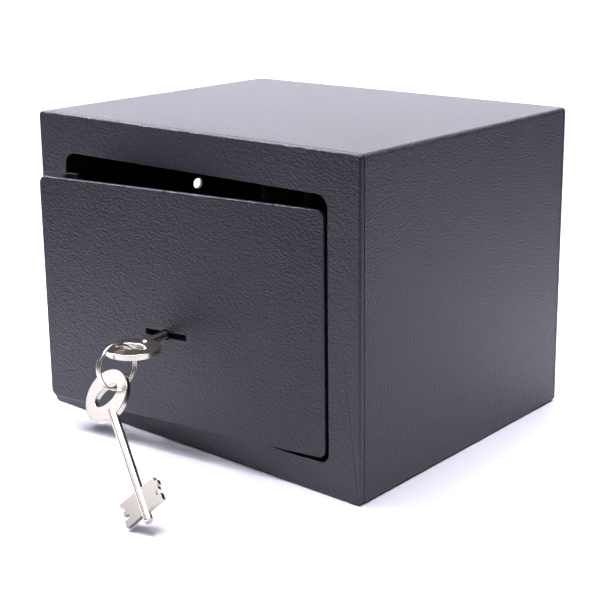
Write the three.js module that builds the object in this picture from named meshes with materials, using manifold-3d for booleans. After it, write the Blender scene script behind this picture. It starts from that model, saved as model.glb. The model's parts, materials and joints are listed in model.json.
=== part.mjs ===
import * as THREE from "three";
import { mergeVertices } from "three/addons/utils/BufferGeometryUtils.js";
import Module from "manifold-3d";

const wasm = await Module();
wasm.setup();

// Small key-lock safe, millimetres. X runs right along the front, Y runs from the front to the back, Z is up.
// The origin is the middle of the underside. The door is drawn shut and then swung ajar about its pins.

// Overall body
const BODY_WIDTH = 230;
const BODY_HEIGHT = 173;
const BODY_DEPTH = 185;
const JOIN_GAP = 0.3;
const SHELL_SHEET = 2;
const SHELL_CORNER_RADIUS = 2.6;
const SHELL_INNER_RADIUS = 0.8;
const FRONT_SHEET = 3;
const BACK_SHEET = 2;
const END_PLATE_INSET = 0.3;
const END_PLATE_RADIUS = 2.2;

// Door opening in the front plate
const LATCH_STILE = 21.6;
const HINGE_STILE = 19.8;
const BOTTOM_RAIL = 16.3;
const TOP_RAIL = 21.35;
const OPENING_RADIUS = 6.5;
const OPENING_LEFT = LATCH_STILE - BODY_WIDTH / 2;
const OPENING_RIGHT = BODY_WIDTH / 2 - HINGE_STILE;
const OPENING_BOTTOM = BOTTOM_RAIL;
const OPENING_TOP = BODY_HEIGHT - TOP_RAIL;

// Anchor holes: one through the left wall, two through the back
const SIDE_HOLE_RADIUS = 3;
const SIDE_HOLE_FROM_FRONT = 122.4;
const SIDE_HOLE_HEIGHT = 111.7;
const BACK_HOLE_RADIUS = 4.5;
const BACK_HOLE_SPACING = 130;
const BACK_HOLE_HEIGHT = 120;

// Floor mat
const MAT_THICKNESS = 2;
const MAT_MARGIN = 2.5;
const MAT_FRONT_MARGIN = 16;
const MAT_RADIUS = 4;

// Door plate
const DOOR_SHEET = 3;
const DOOR_GAP_LATCH = 5.4;
const DOOR_GAP_HINGE = 4.5;
const DOOR_GAP_BOTTOM = 1.4;
const DOOR_GAP_TOP = 8.05;
const DOOR_RADIUS = 4.2;
const DOOR_LEFT = OPENING_LEFT + DOOR_GAP_LATCH;
const DOOR_RIGHT = OPENING_RIGHT - DOOR_GAP_HINGE;
const DOOR_BOTTOM = OPENING_BOTTOM + DOOR_GAP_BOTTOM;
const DOOR_TOP = OPENING_TOP - DOOR_GAP_TOP;

// Hinge line, measured from the door's hinge edge and front face
const PIVOT_FROM_EDGE = 12;
const PIVOT_DEPTH = 7;
const AJAR_DEGREES = 9;
const PIN_RADIUS = 2.5;
const PIN_CLEARANCE = 0.1;
const LUG_HALF_WIDTH = 7;
const LUG_BACK_DEPTH = 12.5;
const LUG_HEIGHT = 7;
const LUG_INSET = 2.2;
const HINGE_BLOCK_HALF_WIDTH = 9;
const HINGE_BLOCK_BACK_DEPTH = 15.5;
const PIN_BORE_DEPTH = 10;
const PIN_END_GAP = 0.4;
const WASHER_RADIUS = 3.6;
const UPPER_PIN_IN_BLOCK = 8;
const CLIP_THICKNESS = 0.8;
const CLIP_RADIUS = 3.6;

// Dog plate welded behind the door's hinge edge; it reaches behind the front plate
const DOG_THICKNESS = 2.5;
const DOG_BEHIND_DOOR = 7;
const DOG_REACH = 9.5;
const DOG_END_MARGIN = 15.4;
const DOG_GAP = 0.4;

// Bolt guide: an L angle along the latch edge of the door
const GUIDE_FROM_EDGE = 6.8;
const GUIDE_SHEET = 2;
const GUIDE_LEG_DEPTH = 13.2;
const GUIDE_FLANGE_WIDTH = 7.6;
const GUIDE_END_MARGIN = 0.6;

// Round bolts and their carrier
const BOLT_RADIUS = 5;
const BOLT_DEPTH = 9.2;
const BOLT_CLEARANCE = 0.3;
const BOLT_CHAMFER = 1;
const BOLT_TIP_BACK = 2.4;
const BOLT_THROW = 14;
const BOLT_SPREAD = 76;
const CARRIER_THICKNESS = 3;
const CARRIER_GAP_AT_THROW = 0.6;
const CARRIER_FRONT_DEPTH = 3.6;
const CARRIER_BACK_DEPTH = 13.8;
const CARRIER_TAB_DEPTH = 42;
const CARRIER_TAB_HALF_HEIGHT = 8;
const CARRIER_END_MARGIN = 6;
const SPIGOT_RADIUS = 3;
const SPIGOT_HEAD_RADIUS = 4.2;
const SPIGOT_HEAD_HEIGHT = 1.6;

// Keyhole
const KEY_FROM_LATCH_EDGE = 82.35;
const KEY_FROM_DOOR_BOTTOM = 49.1;
const KEY_X = DOOR_LEFT + KEY_FROM_LATCH_EDGE;
const KEY_Z = DOOR_BOTTOM + KEY_FROM_DOOR_BOTTOM;
const SLOT_LENGTH = 26;
const SLOT_HEIGHT = 3.2;
const KEYHOLE_RADIUS = 2.9;

// Bridge that carries the lock behind the door
const BRIDGE_HALF_WIDTH = 40;
const BRIDGE_LEFT = KEY_X - BRIDGE_HALF_WIDTH;
const BRIDGE_RIGHT = KEY_X + BRIDGE_HALF_WIDTH;
const BRIDGE_HALF_HEIGHT = 32.4;
const BRIDGE_SHEET = 2;
const BRIDGE_BACK_DEPTH = 22;
const BRIDGE_FLANGE = 9;

// Lock case, cover, levers and slide
const CASE_HALF_WIDTH = 34;
const CASE_LEFT = KEY_X - CASE_HALF_WIDTH;
const CASE_RIGHT = KEY_X + CASE_HALF_WIDTH;
const CASE_HALF_HEIGHT = 24.4;
const CASE_WALL = 2;
const CASE_EAR = 7.8;
const CASE_BACK_DEPTH = 47.8;
const COVER_SHEET = 2;
const PILOT_CLEARANCE = 0.35;
const SLIDE_THICKNESS = 6;
const SLIDE_FRONT_DEPTH = 34;
const SLIDE_HALF_HEIGHT = 16;
const SLIDE_LEFT_STRIP = 4.2;
const SLIDE_RIGHT_STRIP = 4.4;
const BIT_CLEARANCE = 0.8;
const TAIL_HALF_HEIGHT = 5.5;
const TAIL_SLOT_CLEARANCE = 0.3;
const TAIL_SCREW_RADIUS = 1.5;
const TAIL_SCREW_LENGTH = 11;
const TAIL_SCREW_HEAD_RADIUS = 3;
const TAIL_SCREW_HEAD_HEIGHT = 2;
const LEVER_COUNT = 3;
const LEVER_THICKNESS = 1.8;
const LEVER_SPACING = 2.3;
const LEVER_FRONT_DEPTH = 40.5;
const LEVER_HALF_WIDTH = 25;
const LEVER_LEFT = KEY_X - LEVER_HALF_WIDTH;
const LEVER_RIGHT = KEY_X + LEVER_HALF_WIDTH;
const LEVER_HALF_HEIGHT = 16;
const LEVER_CREST = 22;
const LEVER_GATE_WIDTH = 5;
const LEVER_GATE_DEPTH = 3;
const LEVER_PIVOT_SIDE = 18.75;
const LEVER_PIVOT_RISE = 18.4;
const LEVER_POST_RADIUS = 1.8;
const LEVER_POST_CLEARANCE = 0.25;
const BOSS_WIDTH = 5.2;
const BOSS_HEIGHT = 5.2;
const BOSS_HOLE_RADIUS = 1.35;
const BOSS_HOLE_DEPTH = 9;
const COVER_SCREW_RADIUS = 1.1;
const COVER_SCREW_LENGTH = 8;
const COVER_SCREW_HEAD_RADIUS = 2.4;
const COVER_SCREW_HEAD_HEIGHT = 1.4;
const CASE_SCREW_RADIUS = 1.9;
const CASE_SCREW_HOLE_RADIUS = 2.2;
const CASE_SCREW_HEAD_RADIUS = 3.2;
const CASE_SCREW_HEAD_HEIGHT = 2.2;
const CASE_SCREW_LENGTH = 7;
const CASE_SCREW_RISE = 28.4;
const CASE_SCREW_INSET = 6;
const DRIVER_SLOT_WIDTH = 0.8;
const DRIVER_SLOT_DEPTH = 0.8;

// Key with two bits
const KEY_LENGTH = 92;
const BOW_RADIUS = 14;
const BOW_THICKNESS = 3;
const BOW_HOLE_LENGTH = 14;
const BOW_HOLE_WIDTH = 8;
const BOW_FROM_DOOR = 27;
const SHANK_RADIUS = 2.3;
const SHANK_IN_BOW = 4;
const SHANK_TIP_CHAMFER = 0.7;
const BIT_REACH = 12;
const BIT_THICKNESS = 2.4;
const BIT_LENGTH = 13.5;
const BIT_FROM_TIP = 4.5;

// Heights of the bit steps from the shank's axis, and how much of the bit's length each step takes
const RIGHT_BIT_STEPS = [12, 10.2, 11.4, 8.6, 11.8];
const LEFT_BIT_STEPS = [10.6, 12, 11.2, 9, 11.6];
const BIT_STEP_SHARES = [0.17, 0.19, 0.19, 0.17, 0.28];

// Split ring, and where it and the spare key rest, measured from the keyhole: right, out of the door, up
const RING_RADIUS = 11.25;
const RING_WIRE_RADIUS = 0.8;
const RING_COIL_OFFSET = 0.86;
const RING_FIRST_DEGREES = 60;
const RING_CROSSING_DEGREES = 30;
const RING_CENTRE = [-3.72, 35.64, -7.35];
const RING_ACROSS = [-0.248, 0.969, 0];
const RING_UP = [-0.074, -0.019, 0.997];
const SPARE_BOW_CENTRE = [-5.8, 41.32, -21.59];
const SPARE_ALONG = [0.709, 0.511, -0.487];
const SPARE_FLAT = [-0.188, 0.801, 0.568];

// Facets
const HOLE_SEGMENTS = 32;
const SMALL_SEGMENTS = 24;
const CORNER_SEGMENTS = 6;
const RING_STEPS = 110;
const RING_WIRE_SEGMENTS = 10;
const BOW_SEGMENTS = 20;

const FRONT_Y = -BODY_DEPTH / 2;
const BACK_Y = BODY_DEPTH / 2;
const PIVOT_X = DOOR_RIGHT - PIVOT_FROM_EDGE;
const PIVOT_Y = FRONT_Y + PIVOT_DEPTH;
const CUT_OVERRUN = 1;

const X_AXIS = new THREE.Vector3(1, 0, 0);
const Y_AXIS = new THREE.Vector3(0, 1, 0);
const Z_AXIS = new THREE.Vector3(0, 0, 1);

// Solids from plain geometry
function solid(geometry) {
  const plain = geometry.clone();
  plain.deleteAttribute("normal");
  plain.deleteAttribute("uv");
  const merged = mergeVertices(plain, 1e-5);
  const mesh = new wasm.Mesh({
    numProp: 3,
    vertProperties: new Float32Array(merged.attributes.position.array),
    triVerts: new Uint32Array(merged.index.array),
  });
  return new wasm.Manifold(mesh);
}

function geometryOf(body) {
  const mesh = body.getMesh();
  const geometry = new THREE.BufferGeometry();
  geometry.setAttribute("position", new THREE.BufferAttribute(new Float32Array(mesh.vertProperties), 3));
  geometry.setIndex(new THREE.BufferAttribute(new Uint32Array(mesh.triVerts), 1));
  geometry.computeVertexNormals();
  return geometry;
}

function join(first, ...others) {
  return others.reduce((sum, other) => sum.add(other), first);
}

function cut(first, ...others) {
  return others.reduce((rest, other) => rest.subtract(other), first);
}

function block(x0, x1, y0, y1, z0, z1) {
  const geometry = new THREE.BoxGeometry(x1 - x0, y1 - y0, z1 - z0);
  geometry.translate((x0 + x1) / 2, (y0 + y1) / 2, (z0 + z1) / 2);
  return solid(geometry);
}

// A round bar between two points
function rod(start, end, radius, segments, endRadius = radius) {
  const a = new THREE.Vector3(...start);
  const b = new THREE.Vector3(...end);
  const along = b.clone().sub(a);
  const geometry = new THREE.CylinderGeometry(endRadius, radius, along.length(), segments);
  const turn = new THREE.Quaternion().setFromUnitVectors(Y_AXIS, along.clone().normalize());
  geometry.applyQuaternion(turn);
  geometry.translate((a.x + b.x) / 2, (a.y + b.y) / 2, (a.z + b.z) / 2);
  return solid(geometry);
}

// A shape drawn in X and Z, given a thickness along Y
function plateAlongY(shape, y0, y1, segments = CORNER_SEGMENTS) {
  const geometry = new THREE.ExtrudeGeometry(shape,
    { depth: y1 - y0, bevelEnabled: false, curveSegments: segments });
  geometry.rotateX(Math.PI / 2);
  geometry.translate(0, y1, 0);
  return solid(geometry);
}

// A shape drawn in X and Y, given a height along Z
function plateAlongZ(shape, z0, z1, segments = CORNER_SEGMENTS) {
  const geometry = new THREE.ExtrudeGeometry(shape,
    { depth: z1 - z0, bevelEnabled: false, curveSegments: segments });
  geometry.translate(0, 0, z0);
  return solid(geometry);
}

// A shape drawn in Y and Z, given a thickness along X
function plateAlongX(shape, x0, x1, segments = CORNER_SEGMENTS) {
  const geometry = new THREE.ExtrudeGeometry(shape,
    { depth: x1 - x0, bevelEnabled: false, curveSegments: segments });
  geometry.applyMatrix4(new THREE.Matrix4().makeBasis(Y_AXIS, Z_AXIS, X_AXIS));
  geometry.translate(x0, 0, 0);
  return solid(geometry);
}

function roundedRectangle(x0, x1, z0, z1, radius) {
  const shape = new THREE.Shape();
  shape.moveTo(x0 + radius, z0);
  shape.lineTo(x1 - radius, z0);
  shape.absarc(x1 - radius, z0 + radius, radius, -Math.PI / 2, 0);
  shape.lineTo(x1, z1 - radius);
  shape.absarc(x1 - radius, z1 - radius, radius, 0, Math.PI / 2);
  shape.lineTo(x0 + radius, z1);
  shape.absarc(x0 + radius, z1 - radius, radius, Math.PI / 2, Math.PI);
  shape.lineTo(x0, z0 + radius);
  shape.absarc(x0 + radius, z0 + radius, radius, Math.PI, Math.PI * 1.5);
  return shape;
}

function outline(points) {
  const shape = new THREE.Shape();
  points.forEach(([a, b], i) => (i ? shape.lineTo(a, b) : shape.moveTo(a, b)));
  return shape;
}

const parts = [];

function add(name, body, colour, metalness, roughness, place) {
  const geometry = geometryOf(body);
  if (place) geometry.applyMatrix4(place);
  const material = new THREE.MeshStandardMaterial({ color: colour, metalness, roughness });
  const mesh = new THREE.Mesh(geometry, material);
  mesh.name = name;
  parts.push(mesh);
}

const COAT = [0x45454d, 0.2, 0.6];
const COAT_LIGHT = [0x4b4b54, 0.2, 0.6];
const DARK_COAT = [0x2c2c31, 0.2, 0.7];
const ZINC = [0xb9bcc0, 0.9, 0.35];
const STEEL = [0x8f9398, 0.9, 0.4];
const BRASS = [0xb08d45, 0.9, 0.35];
const NICKEL = [0xd9d8d4, 1, 0.2];
const FELT = [0x1d1d20, 0, 0.95];

// Body: one sheet bent round into a tube, closed by a front plate and a back plate
const halfWidth = BODY_WIDTH / 2;
const shellFront = FRONT_Y + FRONT_SHEET + JOIN_GAP;
const shellBack = BACK_Y - BACK_SHEET - JOIN_GAP;
const frontBack = FRONT_Y + FRONT_SHEET;
const shellOuter = roundedRectangle(-halfWidth, halfWidth, 0, BODY_HEIGHT, SHELL_CORNER_RADIUS);
const shellInner = roundedRectangle(
  -halfWidth + SHELL_SHEET, halfWidth - SHELL_SHEET, SHELL_SHEET, BODY_HEIGHT - SHELL_SHEET,
  SHELL_INNER_RADIUS);
const sideHoleY = FRONT_Y + SIDE_HOLE_FROM_FRONT;
add("body_shell", cut(
  plateAlongY(shellOuter, shellFront, shellBack),
  plateAlongY(shellInner, shellFront - CUT_OVERRUN, shellBack + CUT_OVERRUN),
  rod([-halfWidth - CUT_OVERRUN, sideHoleY, SIDE_HOLE_HEIGHT],
    [-halfWidth + SHELL_SHEET + CUT_OVERRUN, sideHoleY, SIDE_HOLE_HEIGHT], SIDE_HOLE_RADIUS, HOLE_SEGMENTS),
), ...COAT);

const endPlate = roundedRectangle(
  -halfWidth + END_PLATE_INSET, halfWidth - END_PLATE_INSET, END_PLATE_INSET, BODY_HEIGHT - END_PLATE_INSET,
  END_PLATE_RADIUS);
const opening = roundedRectangle(OPENING_LEFT, OPENING_RIGHT, OPENING_BOTTOM, OPENING_TOP, OPENING_RADIUS);
add("front_plate", cut(
  plateAlongY(endPlate, FRONT_Y, frontBack),
  plateAlongY(opening, FRONT_Y - CUT_OVERRUN, frontBack + CUT_OVERRUN),
), ...COAT_LIGHT);

const backHoles = [-BACK_HOLE_SPACING / 2, BACK_HOLE_SPACING / 2].map((x) => rod(
  [x, BACK_Y - BACK_SHEET - CUT_OVERRUN, BACK_HOLE_HEIGHT], [x, BACK_Y + CUT_OVERRUN, BACK_HOLE_HEIGHT],
  BACK_HOLE_RADIUS, HOLE_SEGMENTS));
add("back_plate", cut(plateAlongY(endPlate, BACK_Y - BACK_SHEET, BACK_Y), ...backHoles), ...COAT);

const matHalf = halfWidth - SHELL_SHEET - MAT_MARGIN;
const matShape = new THREE.Shape(roundedRectangle(
  -matHalf, matHalf, FRONT_Y + FRONT_SHEET + MAT_FRONT_MARGIN, shellBack - MAT_MARGIN,
  MAT_RADIUS).getPoints(CORNER_SEGMENTS));
const matBottom = SHELL_SHEET + JOIN_GAP;
add("floor_mat", plateAlongZ(matShape, matBottom, matBottom + MAT_THICKNESS), ...FELT);

// Hinge blocks behind the front plate, below and above the opening
const blockFront = frontBack + JOIN_GAP;
const blockBack = FRONT_Y + HINGE_BLOCK_BACK_DEPTH;
const blockLeft = PIVOT_X - HINGE_BLOCK_HALF_WIDTH;
const blockRight = PIVOT_X + HINGE_BLOCK_HALF_WIDTH;
const lowerBlockTop = OPENING_BOTTOM;
const upperBlockBottom = OPENING_TOP;
const boreRadius = PIN_RADIUS + PIN_CLEARANCE;
add("hinge_block_lower", cut(
  block(blockLeft, blockRight, blockFront, blockBack, SHELL_SHEET + JOIN_GAP, lowerBlockTop),
  rod([PIVOT_X, PIVOT_Y, lowerBlockTop - PIN_BORE_DEPTH], [PIVOT_X, PIVOT_Y, lowerBlockTop + CUT_OVERRUN],
    boreRadius, SMALL_SEGMENTS),
), ...DARK_COAT);
const upperBlockTop = BODY_HEIGHT - SHELL_SHEET - JOIN_GAP;
add("hinge_block_upper", cut(
  block(blockLeft, blockRight, blockFront, blockBack, upperBlockBottom, upperBlockTop),
  rod([PIVOT_X, PIVOT_Y, upperBlockBottom - CUT_OVERRUN],
    [PIVOT_X, PIVOT_Y, upperBlockBottom + PIN_BORE_DEPTH + CUT_OVERRUN],
    boreRadius, SMALL_SEGMENTS),
), ...DARK_COAT);

// Lower pin stands in the body; a washer under the door's lug carries the door
const lowerLugBottom = DOOR_BOTTOM + LUG_INSET;
const lowerLugTop = lowerLugBottom + LUG_HEIGHT;
const washerBottom = lowerBlockTop + JOIN_GAP;
const washerTop = lowerLugBottom - JOIN_GAP;
add("hinge_pin_lower", rod(
  [PIVOT_X, PIVOT_Y, lowerBlockTop - PIN_BORE_DEPTH + PIN_END_GAP],
  [PIVOT_X, PIVOT_Y, lowerLugTop - PIN_END_GAP],
  PIN_RADIUS, SMALL_SEGMENTS), ...ZINC);
add("hinge_washer", cut(
  rod([PIVOT_X, PIVOT_Y, washerBottom], [PIVOT_X, PIVOT_Y, washerTop], WASHER_RADIUS, SMALL_SEGMENTS),
  rod([PIVOT_X, PIVOT_Y, washerBottom - CUT_OVERRUN], [PIVOT_X, PIVOT_Y, washerTop + CUT_OVERRUN],
    PIN_RADIUS + JOIN_GAP, SMALL_SEGMENTS),
), ...BRASS);

// Everything below rides on the door
const ajar = new THREE.Matrix4().makeTranslation(PIVOT_X, PIVOT_Y, 0)
  .multiply(new THREE.Matrix4().makeRotationZ(THREE.MathUtils.degToRad(AJAR_DEGREES)))
  .multiply(new THREE.Matrix4().makeTranslation(-PIVOT_X, -PIVOT_Y, 0));

function addToDoor(name, body, finish) {
  add(name, body, ...finish, ajar);
}

function depth(value) {
  return FRONT_Y + value;
}

// Keyhole: a level slot for the bits with a round hole for the shank
function keyholeCutter(d0, d1) {
  const slot = block(KEY_X - SLOT_LENGTH / 2, KEY_X + SLOT_LENGTH / 2, depth(d0), depth(d1),
    KEY_Z - SLOT_HEIGHT / 2, KEY_Z + SLOT_HEIGHT / 2);
  return join(slot, rod([KEY_X, depth(d0), KEY_Z], [KEY_X, depth(d1), KEY_Z], KEYHOLE_RADIUS, HOLE_SEGMENTS));
}

addToDoor("door_plate", cut(
  plateAlongY(roundedRectangle(DOOR_LEFT, DOOR_RIGHT, DOOR_BOTTOM, DOOR_TOP, DOOR_RADIUS), FRONT_Y,
    depth(DOOR_SHEET)),
  keyholeCutter(-CUT_OVERRUN, DOOR_SHEET + CUT_OVERRUN),
), COAT_LIGHT);

// Lugs on the door that turn on the pins
const lugFront = depth(DOOR_SHEET + JOIN_GAP);
const lugBack = depth(LUG_BACK_DEPTH);
const upperLugTop = DOOR_TOP - LUG_INSET;
const upperLugBottom = upperLugTop - LUG_HEIGHT;
for (const [name, z0, z1] of [["door_lug_lower", lowerLugBottom, lowerLugTop],
  ["door_lug_upper", upperLugBottom, upperLugTop]]) {
  addToDoor(name, cut(
    block(PIVOT_X - LUG_HALF_WIDTH, PIVOT_X + LUG_HALF_WIDTH, lugFront, lugBack, z0, z1),
    rod([PIVOT_X, PIVOT_Y, z0 - CUT_OVERRUN], [PIVOT_X, PIVOT_Y, z1 + CUT_OVERRUN], boreRadius,
      SMALL_SEGMENTS),
  ), DARK_COAT);
}
const clipTop = upperLugBottom - JOIN_GAP;
const clipBottom = clipTop - CLIP_THICKNESS;
addToDoor("hinge_pin_upper", join(
  rod([PIVOT_X, PIVOT_Y, clipBottom], [PIVOT_X, PIVOT_Y, upperBlockBottom + UPPER_PIN_IN_BLOCK],
    PIN_RADIUS, SMALL_SEGMENTS),
  rod([PIVOT_X, PIVOT_Y, clipBottom], [PIVOT_X, PIVOT_Y, clipTop], CLIP_RADIUS, SMALL_SEGMENTS),
), DARK_COAT);

addToDoor("hinge_side_dog", block(
  DOOR_RIGHT - DOG_BEHIND_DOOR, DOOR_RIGHT + DOG_REACH, depth(DOOR_SHEET + DOG_GAP),
  depth(DOOR_SHEET + DOG_GAP + DOG_THICKNESS), DOOR_BOTTOM + DOG_END_MARGIN, DOOR_TOP - DOG_END_MARGIN),
DARK_COAT);

// Bolt guide with a hole for each bolt
const guideLeft = DOOR_LEFT + GUIDE_FROM_EDGE;
const guideWebRight = guideLeft + GUIDE_SHEET;
const guideFront = depth(DOOR_SHEET + JOIN_GAP);
const guideBack = depth(DOOR_SHEET + GUIDE_LEG_DEPTH);
const boltZ = [KEY_Z - BOLT_SPREAD / 2, KEY_Z + BOLT_SPREAD / 2];
const boltY = depth(BOLT_DEPTH);
const guideBottom = DOOR_BOTTOM + GUIDE_END_MARGIN + DOOR_RADIUS;
const guideTop = DOOR_TOP - GUIDE_END_MARGIN;
addToDoor("bolt_guide", cut(
  plateAlongZ(outline([
    [guideLeft, guideFront],
    [guideWebRight, guideFront],
    [guideWebRight, guideBack - GUIDE_SHEET],
    [guideLeft + GUIDE_FLANGE_WIDTH, guideBack - GUIDE_SHEET],
    [guideLeft + GUIDE_FLANGE_WIDTH, guideBack],
    [guideLeft, guideBack],
  ]), guideBottom, guideTop),
  ...boltZ.map((z) => rod([guideLeft - CUT_OVERRUN, boltY, z], [guideWebRight + CUT_OVERRUN, boltY, z],
    BOLT_RADIUS + BOLT_CLEARANCE, SMALL_SEGMENTS)),
), DARK_COAT);

// Carrier, drawn back; thrown, it stops just short of the guide's flange
const carrierLeft = guideLeft + GUIDE_FLANGE_WIDTH + CARRIER_GAP_AT_THROW + BOLT_THROW;
const carrierRight = carrierLeft + CARRIER_THICKNESS;
const carrierBar = block(carrierLeft, carrierRight, depth(CARRIER_FRONT_DEPTH), depth(CARRIER_BACK_DEPTH),
  boltZ[0] - CARRIER_END_MARGIN, boltZ[1] + CARRIER_END_MARGIN);
const carrierTab = block(carrierLeft, carrierRight, depth(CARRIER_FRONT_DEPTH), depth(CARRIER_TAB_DEPTH),
  KEY_Z - CARRIER_TAB_HALF_HEIGHT, KEY_Z + CARRIER_TAB_HALF_HEIGHT);
const slideMiddle = SLIDE_FRONT_DEPTH + SLIDE_THICKNESS / 2;
addToDoor("bolt_carrier", cut(
  join(carrierBar, carrierTab),
  ...boltZ.map((z) => rod([carrierLeft - CUT_OVERRUN, boltY, z], [carrierRight + CUT_OVERRUN, boltY, z],
    SPIGOT_RADIUS + JOIN_GAP, SMALL_SEGMENTS)),
  rod([carrierLeft - CUT_OVERRUN, depth(slideMiddle), KEY_Z],
    [carrierRight + CUT_OVERRUN, depth(slideMiddle), KEY_Z],
    TAIL_SCREW_RADIUS + JOIN_GAP, SMALL_SEGMENTS),
), ZINC);

// Bolts: a chamfered nose at the left and a riveted spigot through the carrier at the right
const boltTip = DOOR_LEFT + BOLT_TIP_BACK;
const boltShoulder = carrierLeft - JOIN_GAP;
const rivetStart = carrierRight + JOIN_GAP;
["bolt_lower", "bolt_upper"].forEach((name, i) => {
  const z = boltZ[i];
  addToDoor(name, join(
    rod([boltTip + BOLT_CHAMFER, boltY, z], [boltTip, boltY, z], BOLT_RADIUS, SMALL_SEGMENTS,
      BOLT_RADIUS - BOLT_CHAMFER),
    rod([boltTip + BOLT_CHAMFER, boltY, z], [boltShoulder, boltY, z], BOLT_RADIUS, SMALL_SEGMENTS),
    rod([boltShoulder - BOLT_CHAMFER, boltY, z], [rivetStart + SPIGOT_HEAD_HEIGHT, boltY, z],
      SPIGOT_RADIUS, SMALL_SEGMENTS),
    rod([rivetStart, boltY, z], [rivetStart + SPIGOT_HEAD_HEIGHT, boltY, z], SPIGOT_HEAD_RADIUS,
      SMALL_SEGMENTS, SPIGOT_RADIUS),
  ), STEEL);
});

// Bridge: a hat section with its feet turned inward
const bridgeFront = DOOR_SHEET + JOIN_GAP;
const bridgeBottom = KEY_Z - BRIDGE_HALF_HEIGHT;
const bridgeTop = KEY_Z + BRIDGE_HALF_HEIGHT;
const caseFrontDepth = BRIDGE_BACK_DEPTH + JOIN_GAP;
const screwX = [CASE_LEFT + CASE_SCREW_INSET, CASE_RIGHT - CASE_SCREW_INSET];
const screwPlaces = [-1, 1].flatMap((side) => screwX.map((x) => [x, KEY_Z + side * CASE_SCREW_RISE]));
const screwHoles = screwPlaces.map(([x, z]) => rod(
  [x, depth(BRIDGE_BACK_DEPTH - BRIDGE_SHEET - CUT_OVERRUN), z],
  [x, depth(caseFrontDepth + CASE_WALL + CUT_OVERRUN), z],
  CASE_SCREW_HOLE_RADIUS, SMALL_SEGMENTS));
addToDoor("lock_bridge", cut(
  plateAlongZ(outline([
    [BRIDGE_LEFT, depth(bridgeFront)],
    [BRIDGE_LEFT + BRIDGE_FLANGE, depth(bridgeFront)],
    [BRIDGE_LEFT + BRIDGE_FLANGE, depth(bridgeFront + BRIDGE_SHEET)],
    [BRIDGE_LEFT + BRIDGE_SHEET, depth(bridgeFront + BRIDGE_SHEET)],
    [BRIDGE_LEFT + BRIDGE_SHEET, depth(BRIDGE_BACK_DEPTH - BRIDGE_SHEET)],
    [BRIDGE_RIGHT - BRIDGE_SHEET, depth(BRIDGE_BACK_DEPTH - BRIDGE_SHEET)],
    [BRIDGE_RIGHT - BRIDGE_SHEET, depth(bridgeFront + BRIDGE_SHEET)],
    [BRIDGE_RIGHT - BRIDGE_FLANGE, depth(bridgeFront + BRIDGE_SHEET)],
    [BRIDGE_RIGHT - BRIDGE_FLANGE, depth(bridgeFront)],
    [BRIDGE_RIGHT, depth(bridgeFront)],
    [BRIDGE_RIGHT, depth(BRIDGE_BACK_DEPTH)],
    [BRIDGE_LEFT, depth(BRIDGE_BACK_DEPTH)],
  ]), bridgeBottom, bridgeTop),
  keyholeCutter(BRIDGE_BACK_DEPTH - BRIDGE_SHEET - CUT_OVERRUN, BRIDGE_BACK_DEPTH + CUT_OVERRUN),
  ...screwHoles,
), DARK_COAT);

// Lock case: a tray open at the back, with ears above and below for the screws
const caseInnerFront = caseFrontDepth + CASE_WALL;
const caseBottom = KEY_Z - CASE_HALF_HEIGHT;
const caseTop = KEY_Z + CASE_HALF_HEIGHT;
const slideBack = SLIDE_FRONT_DEPTH + SLIDE_THICKNESS;
const postX = KEY_X + LEVER_PIVOT_SIDE;
const postZ = KEY_Z + LEVER_PIVOT_RISE;
const caseTray = cut(
  join(
    block(CASE_LEFT, CASE_RIGHT, depth(caseFrontDepth), depth(CASE_BACK_DEPTH), caseBottom, caseTop),
    block(CASE_LEFT, CASE_RIGHT, depth(caseFrontDepth), depth(caseInnerFront), caseBottom - CASE_EAR,
      caseTop + CASE_EAR)),
  block(CASE_LEFT + CASE_WALL, CASE_RIGHT - CASE_WALL, depth(caseInnerFront),
    depth(CASE_BACK_DEPTH + CUT_OVERRUN), caseBottom + CASE_WALL, caseTop - CASE_WALL));
const bosses = [
  [CASE_LEFT + CASE_WALL - JOIN_GAP, caseBottom + CASE_WALL - JOIN_GAP],
  [CASE_RIGHT - CASE_WALL + JOIN_GAP - BOSS_WIDTH, caseTop - CASE_WALL + JOIN_GAP - BOSS_HEIGHT],
];
const bossSolids = bosses.map(([x, z]) => block(x, x + BOSS_WIDTH, depth(caseInnerFront - JOIN_GAP),
  depth(CASE_BACK_DEPTH), z, z + BOSS_HEIGHT));
const bossCentres = bosses.map(([x, z]) => [x + BOSS_WIDTH / 2, z + BOSS_HEIGHT / 2]);
const bossHoles = bossCentres.map(([x, z]) => rod([x, depth(CASE_BACK_DEPTH - BOSS_HOLE_DEPTH), z],
  [x, depth(CASE_BACK_DEPTH + CUT_OVERRUN), z], BOSS_HOLE_RADIUS, SMALL_SEGMENTS));
const tailSlot = block(CASE_LEFT - CUT_OVERRUN, CASE_LEFT + CASE_WALL + CUT_OVERRUN,
  depth(SLIDE_FRONT_DEPTH - TAIL_SLOT_CLEARANCE), depth(slideBack + TAIL_SLOT_CLEARANCE),
  KEY_Z - TAIL_HALF_HEIGHT - TAIL_SLOT_CLEARANCE, KEY_Z + TAIL_HALF_HEIGHT + TAIL_SLOT_CLEARANCE);
addToDoor("lock_case", cut(join(caseTray, ...bossSolids),
  keyholeCutter(caseFrontDepth - CUT_OVERRUN, caseInnerFront + CUT_OVERRUN),
  ...screwHoles, ...bossHoles, tailSlot), ZINC);

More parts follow.
